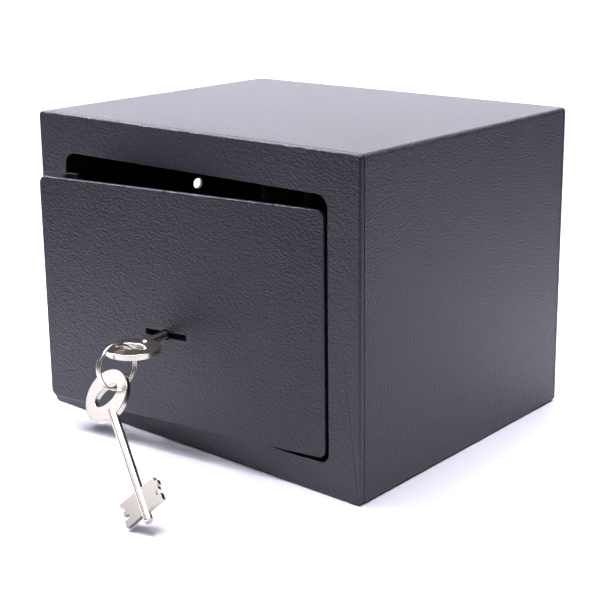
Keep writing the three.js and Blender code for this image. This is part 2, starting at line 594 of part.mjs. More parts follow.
const coverFront = CASE_BACK_DEPTH + JOIN_GAP;
const coverBack = coverFront + COVER_SHEET;
const coverHoles = bossCentres.map(([x, z]) => rod([x, depth(coverFront - CUT_OVERRUN), z],
  [x, depth(coverBack + CUT_OVERRUN), z], BOSS_HOLE_RADIUS, SMALL_SEGMENTS));
addToDoor("lock_cover", cut(
  block(CASE_LEFT, CASE_RIGHT, depth(coverFront), depth(coverBack), caseBottom, caseTop),
  rod([KEY_X, depth(coverFront - CUT_OVERRUN), KEY_Z], [KEY_X, depth(coverBack + CUT_OVERRUN), KEY_Z],
    SHANK_RADIUS + PILOT_CLEARANCE, SMALL_SEGMENTS),
  rod([postX, depth(coverFront - CUT_OVERRUN), postZ], [postX, depth(coverBack + CUT_OVERRUN), postZ],
    LEVER_POST_RADIUS + JOIN_GAP, SMALL_SEGMENTS),
  ...coverHoles,
), ZINC);

// Slotted screw, head toward +Y
function slottedScrew(x, z, headFrontDepth, headHeight, headRadius, shankRadius, shankLength) {
  const headBack = headFrontDepth + headHeight;
  return cut(
    join(
      rod([x, depth(headFrontDepth), z], [x, depth(headBack), z], headRadius, SMALL_SEGMENTS),
      rod([x, depth(headFrontDepth - shankLength), z], [x, depth(headBack), z], shankRadius, SMALL_SEGMENTS)),
    block(x - headRadius - CUT_OVERRUN, x + headRadius + CUT_OVERRUN, depth(headBack - DRIVER_SLOT_DEPTH),
      depth(headBack + CUT_OVERRUN), z - DRIVER_SLOT_WIDTH / 2, z + DRIVER_SLOT_WIDTH / 2));
}
screwPlaces.forEach(([x, z], i) => addToDoor("case_screw_" + (i + 1),
  slottedScrew(x, z, caseInnerFront + JOIN_GAP, CASE_SCREW_HEAD_HEIGHT, CASE_SCREW_HEAD_RADIUS,
    CASE_SCREW_RADIUS, CASE_SCREW_LENGTH), STEEL));
bossCentres.forEach(([x, z], i) => addToDoor("cover_screw_" + (i + 1),
  slottedScrew(x, z, coverBack + JOIN_GAP, COVER_SCREW_HEAD_HEIGHT, COVER_SCREW_HEAD_RADIUS,
    COVER_SCREW_RADIUS, COVER_SCREW_LENGTH), STEEL));

// Slide: its window leaves the bits room to turn at both ends of the throw
const windowRadius = BIT_REACH + BIT_CLEARANCE;
const windowLeft = KEY_X - windowRadius;
const windowRight = KEY_X + BOLT_THROW + windowRadius;
const slideLeft = windowLeft - SLIDE_LEFT_STRIP;
const slideRight = windowRight + SLIDE_RIGHT_STRIP;
const tailLeft = carrierRight + JOIN_GAP;
addToDoor("lock_slide", cut(
  join(
    block(slideLeft, slideRight, depth(SLIDE_FRONT_DEPTH), depth(slideBack), KEY_Z - SLIDE_HALF_HEIGHT,
      KEY_Z + SLIDE_HALF_HEIGHT),
    block(tailLeft, slideLeft + SLIDE_LEFT_STRIP / 2, depth(SLIDE_FRONT_DEPTH), depth(slideBack),
      KEY_Z - TAIL_HALF_HEIGHT, KEY_Z + TAIL_HALF_HEIGHT)),
  plateAlongY(roundedRectangle(windowLeft, windowRight, KEY_Z - windowRadius, KEY_Z + windowRadius,
    windowRadius / 2), depth(SLIDE_FRONT_DEPTH - CUT_OVERRUN), depth(slideBack + CUT_OVERRUN)),
  rod([tailLeft - CUT_OVERRUN, depth(slideMiddle), KEY_Z],
    [tailLeft + TAIL_SCREW_LENGTH, depth(slideMiddle), KEY_Z],
    TAIL_SCREW_RADIUS + JOIN_GAP, SMALL_SEGMENTS),
), BRASS);
const tailHeadRight = carrierLeft - JOIN_GAP;
addToDoor("tail_screw", join(
  rod([tailHeadRight - TAIL_SCREW_HEAD_HEIGHT, depth(slideMiddle), KEY_Z],
    [tailHeadRight, depth(slideMiddle), KEY_Z],
    TAIL_SCREW_HEAD_RADIUS, SMALL_SEGMENTS),
  rod([tailHeadRight - TAIL_SCREW_HEAD_HEIGHT, depth(slideMiddle), KEY_Z],
    [tailLeft + TAIL_SCREW_LENGTH - JOIN_GAP, depth(slideMiddle), KEY_Z], TAIL_SCREW_RADIUS, SMALL_SEGMENTS),
), STEEL);

// Levers: a stack on one post, each gated at a different place
const leverShape = outline([
  [LEVER_LEFT, KEY_Z - LEVER_HALF_HEIGHT],
  [LEVER_RIGHT, KEY_Z - LEVER_HALF_HEIGHT],
  [LEVER_RIGHT, KEY_Z + LEVER_CREST],
  [LEVER_LEFT, KEY_Z + LEVER_HALF_HEIGHT],
]);
for (let i = 0; i < LEVER_COUNT; i++) {
  const front = LEVER_FRONT_DEPTH + i * LEVER_SPACING;
  const back = front + LEVER_THICKNESS;
  const gateLeft = LEVER_LEFT + (i + 1) * LEVER_GATE_WIDTH;
  const gateFloor = KEY_Z - LEVER_HALF_HEIGHT + LEVER_GATE_DEPTH;
  addToDoor("lock_lever_" + (i + 1), cut(
    plateAlongY(leverShape, depth(front), depth(back)),
    rod([KEY_X, depth(front - CUT_OVERRUN), KEY_Z], [KEY_X, depth(back + CUT_OVERRUN), KEY_Z],
      windowRadius, HOLE_SEGMENTS),
    rod([postX, depth(front - CUT_OVERRUN), postZ], [postX, depth(back + CUT_OVERRUN), postZ],
      LEVER_POST_RADIUS + LEVER_POST_CLEARANCE, SMALL_SEGMENTS),
    block(gateLeft, gateLeft + LEVER_GATE_WIDTH, depth(front - CUT_OVERRUN), depth(back + CUT_OVERRUN),
      KEY_Z - LEVER_HALF_HEIGHT - CUT_OVERRUN, gateFloor),
  ), BRASS);
}
addToDoor("lever_post", rod([postX, depth(caseInnerFront + JOIN_GAP), postZ],
  [postX, depth(coverBack), postZ], LEVER_POST_RADIUS, SMALL_SEGMENTS), STEEL);

// Key: along +Y from the bow to the tip, flat in X and Y, bow centre at the origin
function keySolid() {
  const bow = new THREE.Shape();
  bow.absarc(0, 0, BOW_RADIUS, 0, Math.PI * 2);
  const holeRadius = BOW_HOLE_WIDTH / 2;
  const holeHalf = (BOW_HOLE_LENGTH - BOW_HOLE_WIDTH) / 2;
  const hole = new THREE.Path();
  hole.moveTo(-holeHalf, -holeRadius);
  hole.lineTo(holeHalf, -holeRadius);
  hole.absarc(holeHalf, 0, holeRadius, -Math.PI / 2, Math.PI / 2);
  hole.lineTo(-holeHalf, holeRadius);
  hole.absarc(-holeHalf, 0, holeRadius, Math.PI / 2, Math.PI * 1.5);
  bow.holes.push(hole);
  const disc = plateAlongZ(bow, -BOW_THICKNESS / 2, BOW_THICKNESS / 2, BOW_SEGMENTS);
  const tip = KEY_LENGTH - BOW_RADIUS;
  const shankStart = BOW_RADIUS - SHANK_IN_BOW;
  const nose = new THREE.SphereGeometry(SHANK_RADIUS, SMALL_SEGMENTS, CORNER_SEGMENTS * 2);
  nose.translate(0, shankStart, 0);
  const shank = join(
    rod([0, shankStart, 0], [0, tip - SHANK_TIP_CHAMFER, 0], SHANK_RADIUS, SMALL_SEGMENTS),
    rod([0, tip - SHANK_TIP_CHAMFER, 0], [0, tip, 0], SHANK_RADIUS, SMALL_SEGMENTS,
      SHANK_RADIUS - SHANK_TIP_CHAMFER),
    solid(nose));
  const bits = [[1, RIGHT_BIT_STEPS], [-1, LEFT_BIT_STEPS]].map(([side, steps]) => {
    const points = [];
    let along = tip - BIT_FROM_TIP - BIT_LENGTH;
    points.push([0, along]);
    steps.forEach((reach, i) => {
      points.push([side * reach, along]);
      along += BIT_STEP_SHARES[i] * BIT_LENGTH;
      points.push([side * reach, along]);
    });
    points.push([0, along]);
    return plateAlongZ(outline(side > 0 ? points : points.reverse()), -BIT_THICKNESS / 2, BIT_THICKNESS / 2);
  });
  return join(disc, shank, ...bits);
}

// The working key lies level in the lock, its tip in the cover's pilot hole
const workingPlace = ajar.clone().multiply(
  new THREE.Matrix4().makeTranslation(KEY_X, FRONT_Y - BOW_FROM_DOOR, KEY_Z));
add("working_key", keySolid(), ...NICKEL, workingPlace);

// From the keyhole's own directions (right, out of the door, up) to the closed door's axes
function fromKeyhole([right, out, up]) {
  return new THREE.Vector3(KEY_X + right, FRONT_Y - out, KEY_Z + up);
}

function direction([right, out, up]) {
  return new THREE.Vector3(right, -out, up).normalize();
}

function placeFrom(origin, yAxis, zAxis) {
  const y = direction(yAxis);
  const z = direction(zAxis);
  const x = new THREE.Vector3().crossVectors(y, z).normalize();
  z.crossVectors(x, y);
  const place = new THREE.Matrix4().makeBasis(x, y, z).setPosition(fromKeyhole(origin));
  return ajar.clone().multiply(place);
}

// Split ring: two coils joined by a short crossing, its two ends either side of the crossing
function ringCurve() {
  const crossing = THREE.MathUtils.degToRad(RING_CROSSING_DEGREES);
  const first = THREE.MathUtils.degToRad(RING_FIRST_DEGREES);
  const sweep = Math.PI * 4 - crossing * 2;
  const middle = sweep / 2;
  const points = [];
  for (let i = 0; i <= RING_STEPS; i++) {
    const turned = (i / RING_STEPS) * sweep;
    const across = THREE.MathUtils.clamp((turned - middle) / crossing, -1, 1);
    const offset = RING_COIL_OFFSET * Math.sin((across * Math.PI) / 2);
    const angle = first + crossing + turned;
    points.push(new THREE.Vector3(RING_RADIUS * Math.cos(angle), RING_RADIUS * Math.sin(angle), offset));
  }
  return new THREE.CatmullRomCurve3(points, false, "centripetal");
}
const wireSection = new THREE.Shape();
wireSection.absarc(0, 0, RING_WIRE_RADIUS, 0, Math.PI * 2);
const ringGeometry = new THREE.ExtrudeGeometry(wireSection,
  { steps: RING_STEPS, bevelEnabled: false, curveSegments: RING_WIRE_SEGMENTS, extrudePath: ringCurve() });
const ringAcross = direction(RING_ACROSS);
const ringUp = direction(RING_UP);
const ringNormal = new THREE.Vector3().crossVectors(ringAcross, ringUp).normalize();
const ringPlace = ajar.clone().multiply(
  new THREE.Matrix4().makeBasis(ringAcross, ringUp, ringNormal).setPosition(fromKeyhole(RING_CENTRE)));
add("key_ring", solid(ringGeometry), ...NICKEL, ringPlace);

// The spare key hangs on the ring and leans with its tip on the floor
add("spare_key", keySolid(), ...NICKEL, placeFrom(SPARE_BOW_CENTRE, SPARE_ALONG, SPARE_FLAT));

const safe = new THREE.Group();
safe.name = "key_safe";
parts.forEach((mesh) => safe.add(mesh));

export default safe;
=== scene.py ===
# %% [markdown]
# # A small key safe, dressed for a studio photograph
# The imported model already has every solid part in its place. This lesson gives those parts the look
# of the real thing: folded and welded sheet steel under a rippled powder coat, with a zinc-plated lock
# on the back of the door and two nickel-plated keys on a split ring.
# We load the model first, because every new piece takes its place and its size from it.

# %% Load the frame
import json
import math

import bmesh
import bpy
from mathutils import Matrix, Vector


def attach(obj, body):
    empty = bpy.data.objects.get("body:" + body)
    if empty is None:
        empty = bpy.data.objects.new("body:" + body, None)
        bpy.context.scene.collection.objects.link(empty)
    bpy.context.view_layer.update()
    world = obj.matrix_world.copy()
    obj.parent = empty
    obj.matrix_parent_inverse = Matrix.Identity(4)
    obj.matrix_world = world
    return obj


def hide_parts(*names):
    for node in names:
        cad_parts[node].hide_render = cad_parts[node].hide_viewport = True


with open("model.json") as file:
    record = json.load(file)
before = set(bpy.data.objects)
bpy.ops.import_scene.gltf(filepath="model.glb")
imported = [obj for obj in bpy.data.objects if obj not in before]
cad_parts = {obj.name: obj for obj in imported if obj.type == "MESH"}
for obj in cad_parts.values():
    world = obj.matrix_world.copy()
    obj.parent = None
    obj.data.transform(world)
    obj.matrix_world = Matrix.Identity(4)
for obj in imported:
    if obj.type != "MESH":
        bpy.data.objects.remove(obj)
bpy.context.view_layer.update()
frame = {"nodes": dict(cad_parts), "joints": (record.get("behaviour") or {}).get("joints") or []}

# %% [markdown]
# ## The camera
# The camera comes before anything is modelled, so each test render can be laid beside the photograph.
# Its place, aim and lens were worked out from the edges of the body: it stands to the right of the
# door, a little above the safe, and about three quarters of a metre away. The photograph is a crop from
# the lower part of a taller picture, so the lens is shifted down by a tenth of the frame.

# %% Camera
MM = 0.001
CAMERA_PLACE = Vector((476.31, -553.96, 280.24)) * MM
CAMERA_ROUND = math.radians(40.774)
CAMERA_ABOVE = math.radians(14.047)
CAMERA_ROLL = math.radians(-0.648)
FOCAL_LENGTH = 78.836
SENSOR = 36
SHIFT_DOWN = 0.1
CLIP_START = 0.05

bpy.ops.object.camera_add(location=CAMERA_PLACE)
camera = bpy.context.object
camera.name = "camera"
camera.data.lens = FOCAL_LENGTH
camera.data.sensor_width = SENSOR
camera.data.shift_y = -SHIFT_DOWN
camera.rotation_mode = "QUATERNION"
aim = Matrix.Rotation(CAMERA_ROUND, 3, "Z") @ Matrix.Rotation(math.pi / 2 - CAMERA_ABOVE, 3, "X")
camera.rotation_quaternion = (aim @ Matrix.Rotation(CAMERA_ROLL, 3, "Z")).to_quaternion()
camera.data.clip_start = CLIP_START
bpy.context.scene.camera = camera
print("camera at", [round(v, 3) for v in camera.location])

# %% [markdown]
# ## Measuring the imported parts
# The door is packed ajar, which is awkward for measuring. Turned back about its hinge line, its parts
# are square to the axes again, so their corners give true widths and heights. The hinge line and the
# angle come from the door's joint: its lower limit is how far it still has to go to shut.

# %% Shut and ajar
door_joint = next(j for j in frame["joints"] if j["name"] == "door_swing")
HINGE_LINE = Vector(door_joint["pos_m"])
AJAR = math.radians(-door_joint["range_deg"][0])
TO_AJAR = Matrix.Translation(HINGE_LINE) @ Matrix.Rotation(AJAR, 4, "Z") @ Matrix.Translation(-HINGE_LINE)
TO_SHUT = TO_AJAR.inverted()


def corners(node, turned=Matrix.Identity(4)):
    """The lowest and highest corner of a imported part, after a turn."""
    points = [turned @ v.co for v in frame["nodes"][node].data.vertices]
    low = Vector([min(p[i] for p in points) for i in range(3)])
    high = Vector([max(p[i] for p in points) for i in range(3)])
    return low, high


door_low, door_high = corners("door_plate", TO_SHUT)
print("door, mm:", [round(v / MM, 1) for v in door_high - door_low], "ajar", round(math.degrees(AJAR), 1))

# %% [markdown]
# ## Working by hand, in code
# Each piece below is made as one would at the keyboard: add a primitive, edit its mesh, finish it with
# modifiers and apply them. Operators act on whatever is selected, so we start by clearing the
# selection, and pick edges and faces by where they lie.

# %% Selection helpers
NEARLY_ONE = 0.99


def deselect_all():
    if bpy.context.object and bpy.context.object.mode != "OBJECT":
        bpy.ops.object.mode_set(mode="OBJECT")
    bpy.ops.object.select_all(action="DESELECT")


def make_active(piece):
    deselect_all()
    piece.select_set(True)
    bpy.context.view_layer.objects.active = piece


def pick(piece, kind, test):
    """Opens edit mode with the faces or edges that pass the test selected. The test gets a face's middle
    and normal, or an edge's middle, direction and the angle between its two faces."""
    make_active(piece)
    bpy.ops.object.mode_set(mode="EDIT")
    bpy.ops.mesh.select_mode(type=kind)
    bpy.ops.mesh.select_all(action="DESELECT")
    mesh = bmesh.from_edit_mesh(piece.data)
    if kind == "FACE":
        for face in mesh.faces:
            face.select_set(test(face.calc_center_median(), face.normal))
    else:
        for edge in mesh.edges:
            a, b = (v.co for v in edge.verts)
            edge.select_set(test((a + b) / 2, (b - a).normalized(), edge.calc_face_angle(0)))
    bmesh.update_edit_mesh(piece.data)


def leave_edit():
    bpy.ops.object.mode_set(mode="OBJECT")


def along_axis(axis):
    return lambda middle, direction, angle: abs(direction[axis]) > NEARLY_ONE


# %% Primitives at their size and place
def block(name, low, high):
    deselect_all()
    bpy.ops.mesh.primitive_cube_add(size=1, location=(low + high) / 2, scale=high - low)
    piece = bpy.context.object
    piece.name = name
    bpy.ops.object.transform_apply(location=True, rotation=True, scale=True)
    return piece


def bar(name, start, end, radius, sides=48):
    deselect_all()
    along = end - start
    turn = along.to_track_quat("Z", "Y").to_euler()
    bpy.ops.mesh.primitive_cylinder_add(
        vertices=sides, radius=radius, depth=along.length, location=(start + end) / 2, rotation=turn)
    piece = bpy.context.object
    piece.name = name
    bpy.ops.object.transform_apply(location=True, rotation=True, scale=True)
    return piece


# %% Finishing helpers
SMOOTH_UP_TO = 32


def apply_modifier(piece, kind, **settings):
    make_active(piece)
    modifier = piece.modifiers.new(kind.lower(), kind)
    for key, value in settings.items():
        setattr(modifier, key, value)
    bpy.ops.object.modifier_apply(modifier=modifier.name)


def cut_away(piece, *cutters):
    for cutter in cutters:
        apply_modifier(piece, "BOOLEAN", operation="DIFFERENCE", object=cutter, solver="EXACT")
        bpy.data.objects.remove(cutter)


def round_edges(piece, width, segments=3, sharper_than=35):
    apply_modifier(piece, "BEVEL", width=width, segments=segments, limit_method="ANGLE",
                   angle_limit=math.radians(sharper_than))


def smooth(piece, angle=SMOOTH_UP_TO):
    make_active(piece)
    bpy.ops.object.shade_smooth_by_angle(angle=math.radians(angle))


def triangles(piece):
    return sum(len(p.vertices) - 2 for p in piece.data.polygons)


def stand_in(piece, body, node, material):
    """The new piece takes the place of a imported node, and moves with its body."""
    piece.data.materials.clear()
    piece.data.materials.append(material)
    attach(piece, body)
    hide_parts(node)
    print(f"{piece.name}: {triangles(piece)} triangles, for {node} on {body}")


# %% [markdown]
# ## Colours and nodes
# Colours are written as sRGB hex, as one reads them off a picture, and one function turns them into the
# linear values that shaders need. Pattern sizes are in millimetres.

# %% Material helpers
def colour(hex_code):
    def linear(part):
        value = int(hex_code[part:part + 2], 16) / 255
        return value / 12.92 if value <= 0.04045 else ((value + 0.055) / 1.055) ** 2.4
    return (linear(1), linear(3), linear(5), 1)


def add_node(tree, kind, settings=None, **inputs):
    """Adds a node. Settings are its own properties, and inputs are values or other nodes' outputs."""
    node = tree.nodes.new(kind)
    for key, value in (settings or {}).items():
        setattr(node, key, value)
    for key, value in inputs.items():
        by_number = key[0] == "i" and key[1:].isdigit()
        socket = node.inputs[int(key[1:]) if by_number else key.replace("_", " ")]
        if isinstance(value, bpy.types.NodeSocket):
            tree.links.new(value, socket)
        else:
            socket.default_value = value
    return node


def new_material(name, **shader_values):
    material = bpy.data.materials.new(name)
    material.use_nodes = True
    shader = material.node_tree.nodes["Principled BSDF"]
    for key, value in shader_values.items():
        shader.inputs[key.replace("_", " ")].default_value = value
    place = add_node(material.node_tree, "ShaderNodeTexCoord").outputs["Object"]
    return material, material.node_tree, shader, place


def per_metre(pitch_mm):
    """Noise scale whose bumps are about this far apart."""
    return 1 / (pitch_mm * MM)


# %% [markdown]
# ## Powder coat
# The body and door are steel, sprayed with polyester powder and baked. The powder is made to shrink as it
# cures, so it sets in fine wrinkles like leather. The eye sees short bright crests, about two
# millimetres long and one apart, on a dark anthracite with a breath of violet. On the door and the front
# they mostly run down to the right, and on the walls they run along the depth. It is a plastic film and
# not a metal, so it is dull when looked at squarely, and pale where it mirrors the room at a low angle.
# The wrinkles are noise squeezed along one direction, and a little finer grain lies on them. The walls
# mirror evenly lit paper, which hides relief, so theirs are drawn higher. A slow noise shifts the tone.

# %% Powder coat, two shades and two directions
WRINKLE_PITCH = 0.95
WRINKLE_STRETCH = 0.55
WALL_STRETCH = 0.7
FRONT_TURN = (0, math.radians(-16), 0)
WALL_TURN = (math.radians(-20), 0, 0)
GRAIN_PITCH = 0.7
GRAIN_SHARE = 0.15
TONE_PITCH = 45
ANTHRACITE = ("#1B1B23", "#212129")


def powder_coat(name, dark, light, wrinkle_height_mm, roughness, turn=FRONT_TURN,
                squeeze=(WRINKLE_STRETCH, 1, 1)):
    material, tree, shader, place = new_material(name, Roughness=roughness, IOR=1.5)
    tone = add_node(tree, "ShaderNodeTexNoise", Vector=place, Scale=per_metre(TONE_PITCH), Detail=2.0)
    mixed = add_node(tree, "ShaderNodeMix", {"data_type": "RGBA"}, i0=tone.outputs["Fac"],
                     i6=colour(dark), i7=colour(light))
    tree.links.new(mixed.outputs[2], shader.inputs["Base Color"])
    turned = add_node(tree, "ShaderNodeMapping", Vector=place, Rotation=turn)
    squeezed = add_node(tree, "ShaderNodeMapping", Vector=turned.outputs[0], Scale=squeeze)
    wrinkles = add_node(tree, "ShaderNodeTexNoise", Vector=squeezed.outputs[0],
                        Scale=per_metre(WRINKLE_PITCH), Detail=3.0, Roughness=0.5, Distortion=0.3)
    grain = add_node(tree, "ShaderNodeTexNoise", Vector=place, Scale=per_metre(GRAIN_PITCH), Detail=1.0)
    height = add_node(tree, "ShaderNodeMath", {"operation": "MULTIPLY_ADD"}, i0=grain.outputs["Fac"],
                      i1=GRAIN_SHARE, i2=wrinkles.outputs["Fac"])
    bump = add_node(tree, "ShaderNodeBump", Height=height.outputs[0], Strength=1.0,
                    Distance=wrinkle_height_mm * MM)
    tree.links.new(bump.outputs["Normal"], shader.inputs["Normal"])
    return material


coat = powder_coat("powder coat, anthracite", *ANTHRACITE, wrinkle_height_mm=0.5, roughness=0.3)
wall_coat = powder_coat("powder coat, walls", *ANTHRACITE, wrinkle_height_mm=0.8, roughness=0.3,
                        turn=WALL_TURN, squeeze=(1, WALL_STRETCH, 1))
dark_coat = powder_coat("powder coat, black", "#141416", "#1B1B1E", wrinkle_height_mm=0.12, roughness=0.5)
print("coats:", coat.name, "/", wall_coat.name, "/", dark_coat.name)

# %% [markdown]
# ## Metals
# Zinc plate is a thin bright layer that dulls in patches. Turned steel keeps fine rings from the lathe.
# Stamped brass keeps the grain of the rolled strip. Nickel on a tumbled casting is satin: near white,
# with soft reflections and faint polishing lines. A metal takes its colour from its reflection, so each
# has Metallic at 1 and its own tint. Black oxide is a thin oiled film of magnetite on steel. It is no
# metal, and shows as soot black. On the upper hinge pin this near black is also painted shade: it keeps
# the pin as dark as the shadow in the gap above the door.

# %% Metals
ROUGHNESS_SPREAD = 0.2


def metal(name, dark, light, roughness, patch_mm, line_mm, line_height_mm, along=(1, 1, 1), turned=0.0):
    """Patches change the tint slowly, and lines are noise squeezed along one direction."""
    material, tree, shader, place = new_material(name, Metallic=1.0)
    patches = add_node(tree, "ShaderNodeTexNoise", Vector=place, Scale=per_metre(patch_mm), Detail=3.0)
    mixed = add_node(tree, "ShaderNodeMix", {"data_type": "RGBA"}, i0=patches.outputs["Fac"],
                     i6=colour(dark), i7=colour(light))
    tree.links.new(mixed.outputs[2], shader.inputs["Base Color"])
    spread = add_node(tree, "ShaderNodeMapRange", Value=patches.outputs["Fac"],
                      To_Min=roughness * (1 - ROUGHNESS_SPREAD), To_Max=roughness * (1 + ROUGHNESS_SPREAD))
    tree.links.new(spread.outputs[0], shader.inputs["Roughness"])
    squeezed = add_node(tree, "ShaderNodeMapping", Vector=place, Rotation=(0, 0, turned), Scale=along)
    lines = add_node(tree, "ShaderNodeTexNoise", Vector=squeezed.outputs[0], Scale=per_metre(line_mm),
                     Detail=2.0)
    bump = add_node(tree, "ShaderNodeBump", Height=lines.outputs["Fac"], Strength=1.0,
                    Distance=line_height_mm * MM)
    tree.links.new(bump.outputs["Normal"], shader.inputs["Normal"])
    return material


zinc = metal("zinc plate", "#A9ACB0", "#CDD0D3", roughness=0.32, patch_mm=7, line_mm=0.5,
             line_height_mm=0.004)
turned_steel = metal("turned steel", "#85898E", "#A4A8AC", roughness=0.26, patch_mm=5, line_mm=0.35,
                     line_height_mm=0.01, along=(1, 0.05, 0.05), turned=-AJAR)
brass = metal("stamped brass", "#A8823E", "#C9A45A", roughness=0.3, patch_mm=6, line_mm=0.4,
              line_height_mm=0.006, along=(0.08, 1, 1), turned=-AJAR)
nickel = metal("satin nickel", "#CDC6BA", "#DCD6CB", roughness=0.24, patch_mm=4, line_mm=0.3,
               line_height_mm=0.0015, along=(1, 0.1, 1))
print("metals:", [m.name for m in (zinc, turned_steel, brass, nickel)])

# %% Black oxide and painted shade
SOOT_PITCH = 3

# Near black, partly painted shade: it keeps the upper hinge pin as dark as the gap above the door.
black_oxide_and_shade, black_tree, black_shader, black_place = new_material("black oxide and painted shade", Roughness=0.9)
black_shader.inputs["Specular IOR Level"].default_value = 0.1
soot = add_node(black_tree, "ShaderNodeTexNoise", Vector=black_place, Scale=per_metre(SOOT_PITCH),
                Detail=3.0)
soot_mix = add_node(black_tree, "ShaderNodeMix", {"data_type": "RGBA"}, i0=soot.outputs["Fac"],
                    i6=colour("#070708"), i7=colour("#0F0F11"))
black_tree.links.new(soot_mix.outputs[2], black_shader.inputs["Base Color"])
print("soot patches about", SOOT_PITCH, "mm apart")

# %% [markdown]
# ## Felt
# The mat is needle felt: short black fibres pressed flat, with no weave. It shines a little at a low
# angle, as fluff does, and is quite rough otherwise. The fibres are drawn coarser than real ones, so
# that they show at all.

# %% Felt
FIBRE_PITCH = 0.7
FIBRE_HEIGHT = 0.3

felt, felt_tree, felt_shader, felt_place = new_material("needle felt", Roughness=0.95)
felt_shader.inputs["Sheen Weight"].default_value = 0.35
felt_shader.inputs["Sheen Roughness"].default_value = 0.6
fibres = add_node(felt_tree, "ShaderNodeTexNoise", Vector=felt_place, Scale=per_metre(FIBRE_PITCH),
                  Detail=4.0, Distortion=2.5)
felt_mix = add_node(felt_tree, "ShaderNodeMix", {"data_type": "RGBA"}, i0=fibres.outputs["Fac"],
                    i6=colour("#131315"), i7=colour("#232326"))
felt_tree.links.new(felt_mix.outputs[2], felt_shader.inputs["Base Color"])
felt_bump = add_node(felt_tree, "ShaderNodeBump", Height=fibres.outputs["Fac"], Strength=0.8,
                     Distance=FIBRE_HEIGHT * MM)
felt_tree.links.new(felt_bump.outputs["Normal"], felt_shader.inputs["Normal"])
print("felt fibres about", FIBRE_PITCH, "mm apart")

# %% [markdown]
# ## Smooth shading that keeps flats flat
# A small rounded edge is what makes sheet metal look real: it catches a line of light. Smooth shading
# would bend that light across the flat beside it, so the Weighted Normal modifier lets the large flat
# faces decide, and the rounding takes up all of the turn.

# %% Shading and rounding
LARGEST_FACE_LEADS = 100
IN_PLANE = 0.01
SHARP = 1


def shade(piece, angle=SMOOTH_UP_TO):
    smooth(piece, angle)
    apply_modifier(piece, "WEIGHTED_NORMAL", keep_sharp=True, weight=LARGEST_FACE_LEADS)


def bevel_picked(width, segments):
    bpy.ops.mesh.bevel(offset=width, segments=segments, affect="EDGES")
    leave_edit()


def round_face(piece, y, width_mm, segments=3, where=lambda middle: True):
    """Rounds the sharp edges that lie in the face at this Y."""
    pick(piece, "EDGE", lambda middle, direction, angle:
         abs(middle.y - y) < IN_PLANE * MM and angle > SHARP and where(middle))
    bevel_picked(width_mm * MM, segments)


# %% [markdown]
# ## The body shell
# One sheet is bent round four corners into a tube, open at the front and back. We take a block, drop its
# two ends, bend the four long edges with a bevel, and let Solidify give the skin its two millimetres
# inward. Its two rims run a tenth of a millimetre on, up to the end plates, and their slight rounding
# makes the fine dark groove between them. One short slot in the left wall takes an anchor screw, and
# daylight shows through it as a round spot. The slot is cut by a block whose ends are bevelled to just
# under half circles, because a bevel stops short of the width where its two sides would meet.

# %% Shell
SHELL_SHEET = 2
BEND_RADIUS = 2.6
SIDE_SLOT_LENGTH = 8
SIDE_SLOT_WIDTH = 6.4
SIDE_SLOT_BACK = 29.9
SIDE_SLOT_HEIGHT = 111.7
SLOT_END_SHARE = 0.999
RIM_GROWTH = 0.1
RIM_EDGE = 0.35

shell_low, shell_high = corners("body_shell")
closer = Vector((0, RIM_GROWTH * MM, 0))
shell = block("shell", shell_low - closer, shell_high + closer)
pick(shell, "FACE", lambda middle, normal: abs(normal.y) > NEARLY_ONE)
bpy.ops.mesh.delete(type="ONLY_FACE")
leave_edit()
pick(shell, "EDGE", along_axis(1))
bevel_picked(BEND_RADIUS * MM, 8)
apply_modifier(shell, "SOLIDIFY", thickness=SHELL_SHEET * MM, offset=-1, use_even_offset=True)
slot_middle = Vector((shell_low.x, SIDE_SLOT_BACK * MM, SIDE_SLOT_HEIGHT * MM))
slot_half = Vector((4 * SHELL_SHEET, SIDE_SLOT_LENGTH, SIDE_SLOT_WIDTH)) * MM / 2
slot = block("slot", slot_middle - slot_half, slot_middle + slot_half)
pick(slot, "EDGE", along_axis(0))
bevel_picked(SIDE_SLOT_WIDTH / 2 * SLOT_END_SHARE * MM, 12)
cut_away(shell, slot)
for rim in (shell_low.y - closer.y, shell_high.y + closer.y):
    round_face(shell, rim, RIM_EDGE, 2)
shade(shell)
stand_in(shell, "body", "body_shell", wall_coat)

# %% [markdown]
# ## Front and back plates
# The front plate is thicker than the shell and is welded on its rim, flush with its skin, so a fine dark
# line runs between them. Its outer edge is ground round before coating, which draws a second, pale line.
# The opening is cut by a block with rounded corners, and its edge is only broken. The back plate is made
# in the same way, with two anchor holes. Both are two tenths of a millimetre larger all round than the
# packed plates, and so lie flush.

# %% Front plate
LATCH_STILE = 21.6
HINGE_STILE = 19.8
BOTTOM_RAIL = 16.3
TOP_RAIL = 21.35
OPENING_RADIUS = 6.5
PLATE_CORNER = 2.4
PLATE_GROWTH = 0.2
OUTER_EDGE = 1.1
OPENING_EDGE = 0.45
OVERRUN = 2


def plate(name, low, high, corner_mm, segments=8):
    piece = block(name, low, high)
    pick(piece, "EDGE", along_axis(1))
    bevel_picked(corner_mm * MM, segments)
    return piece


flush = Vector((PLATE_GROWTH * MM, 0, PLATE_GROWTH * MM))
front_low, front_high = corners("front_plate")
past = Vector((0, OVERRUN * MM, 0))
through = Vector((0, 3 * OVERRUN * MM, 0))
opening_low = Vector((shell_low.x + LATCH_STILE * MM, front_low.y, shell_low.z + BOTTOM_RAIL * MM))
opening_high = Vector((shell_high.x - HINGE_STILE * MM, front_high.y, shell_high.z - TOP_RAIL * MM))
front = plate("front", front_low - flush, front_high + flush, PLATE_CORNER)
cut_away(front, plate("opening", opening_low - past, opening_high + past, OPENING_RADIUS, 10))


def by_outline(middle):
    return min(middle.x - front_low.x, front_high.x - middle.x, middle.z - front_low.z,
               front_high.z - middle.z) < PLATE_CORNER * MM


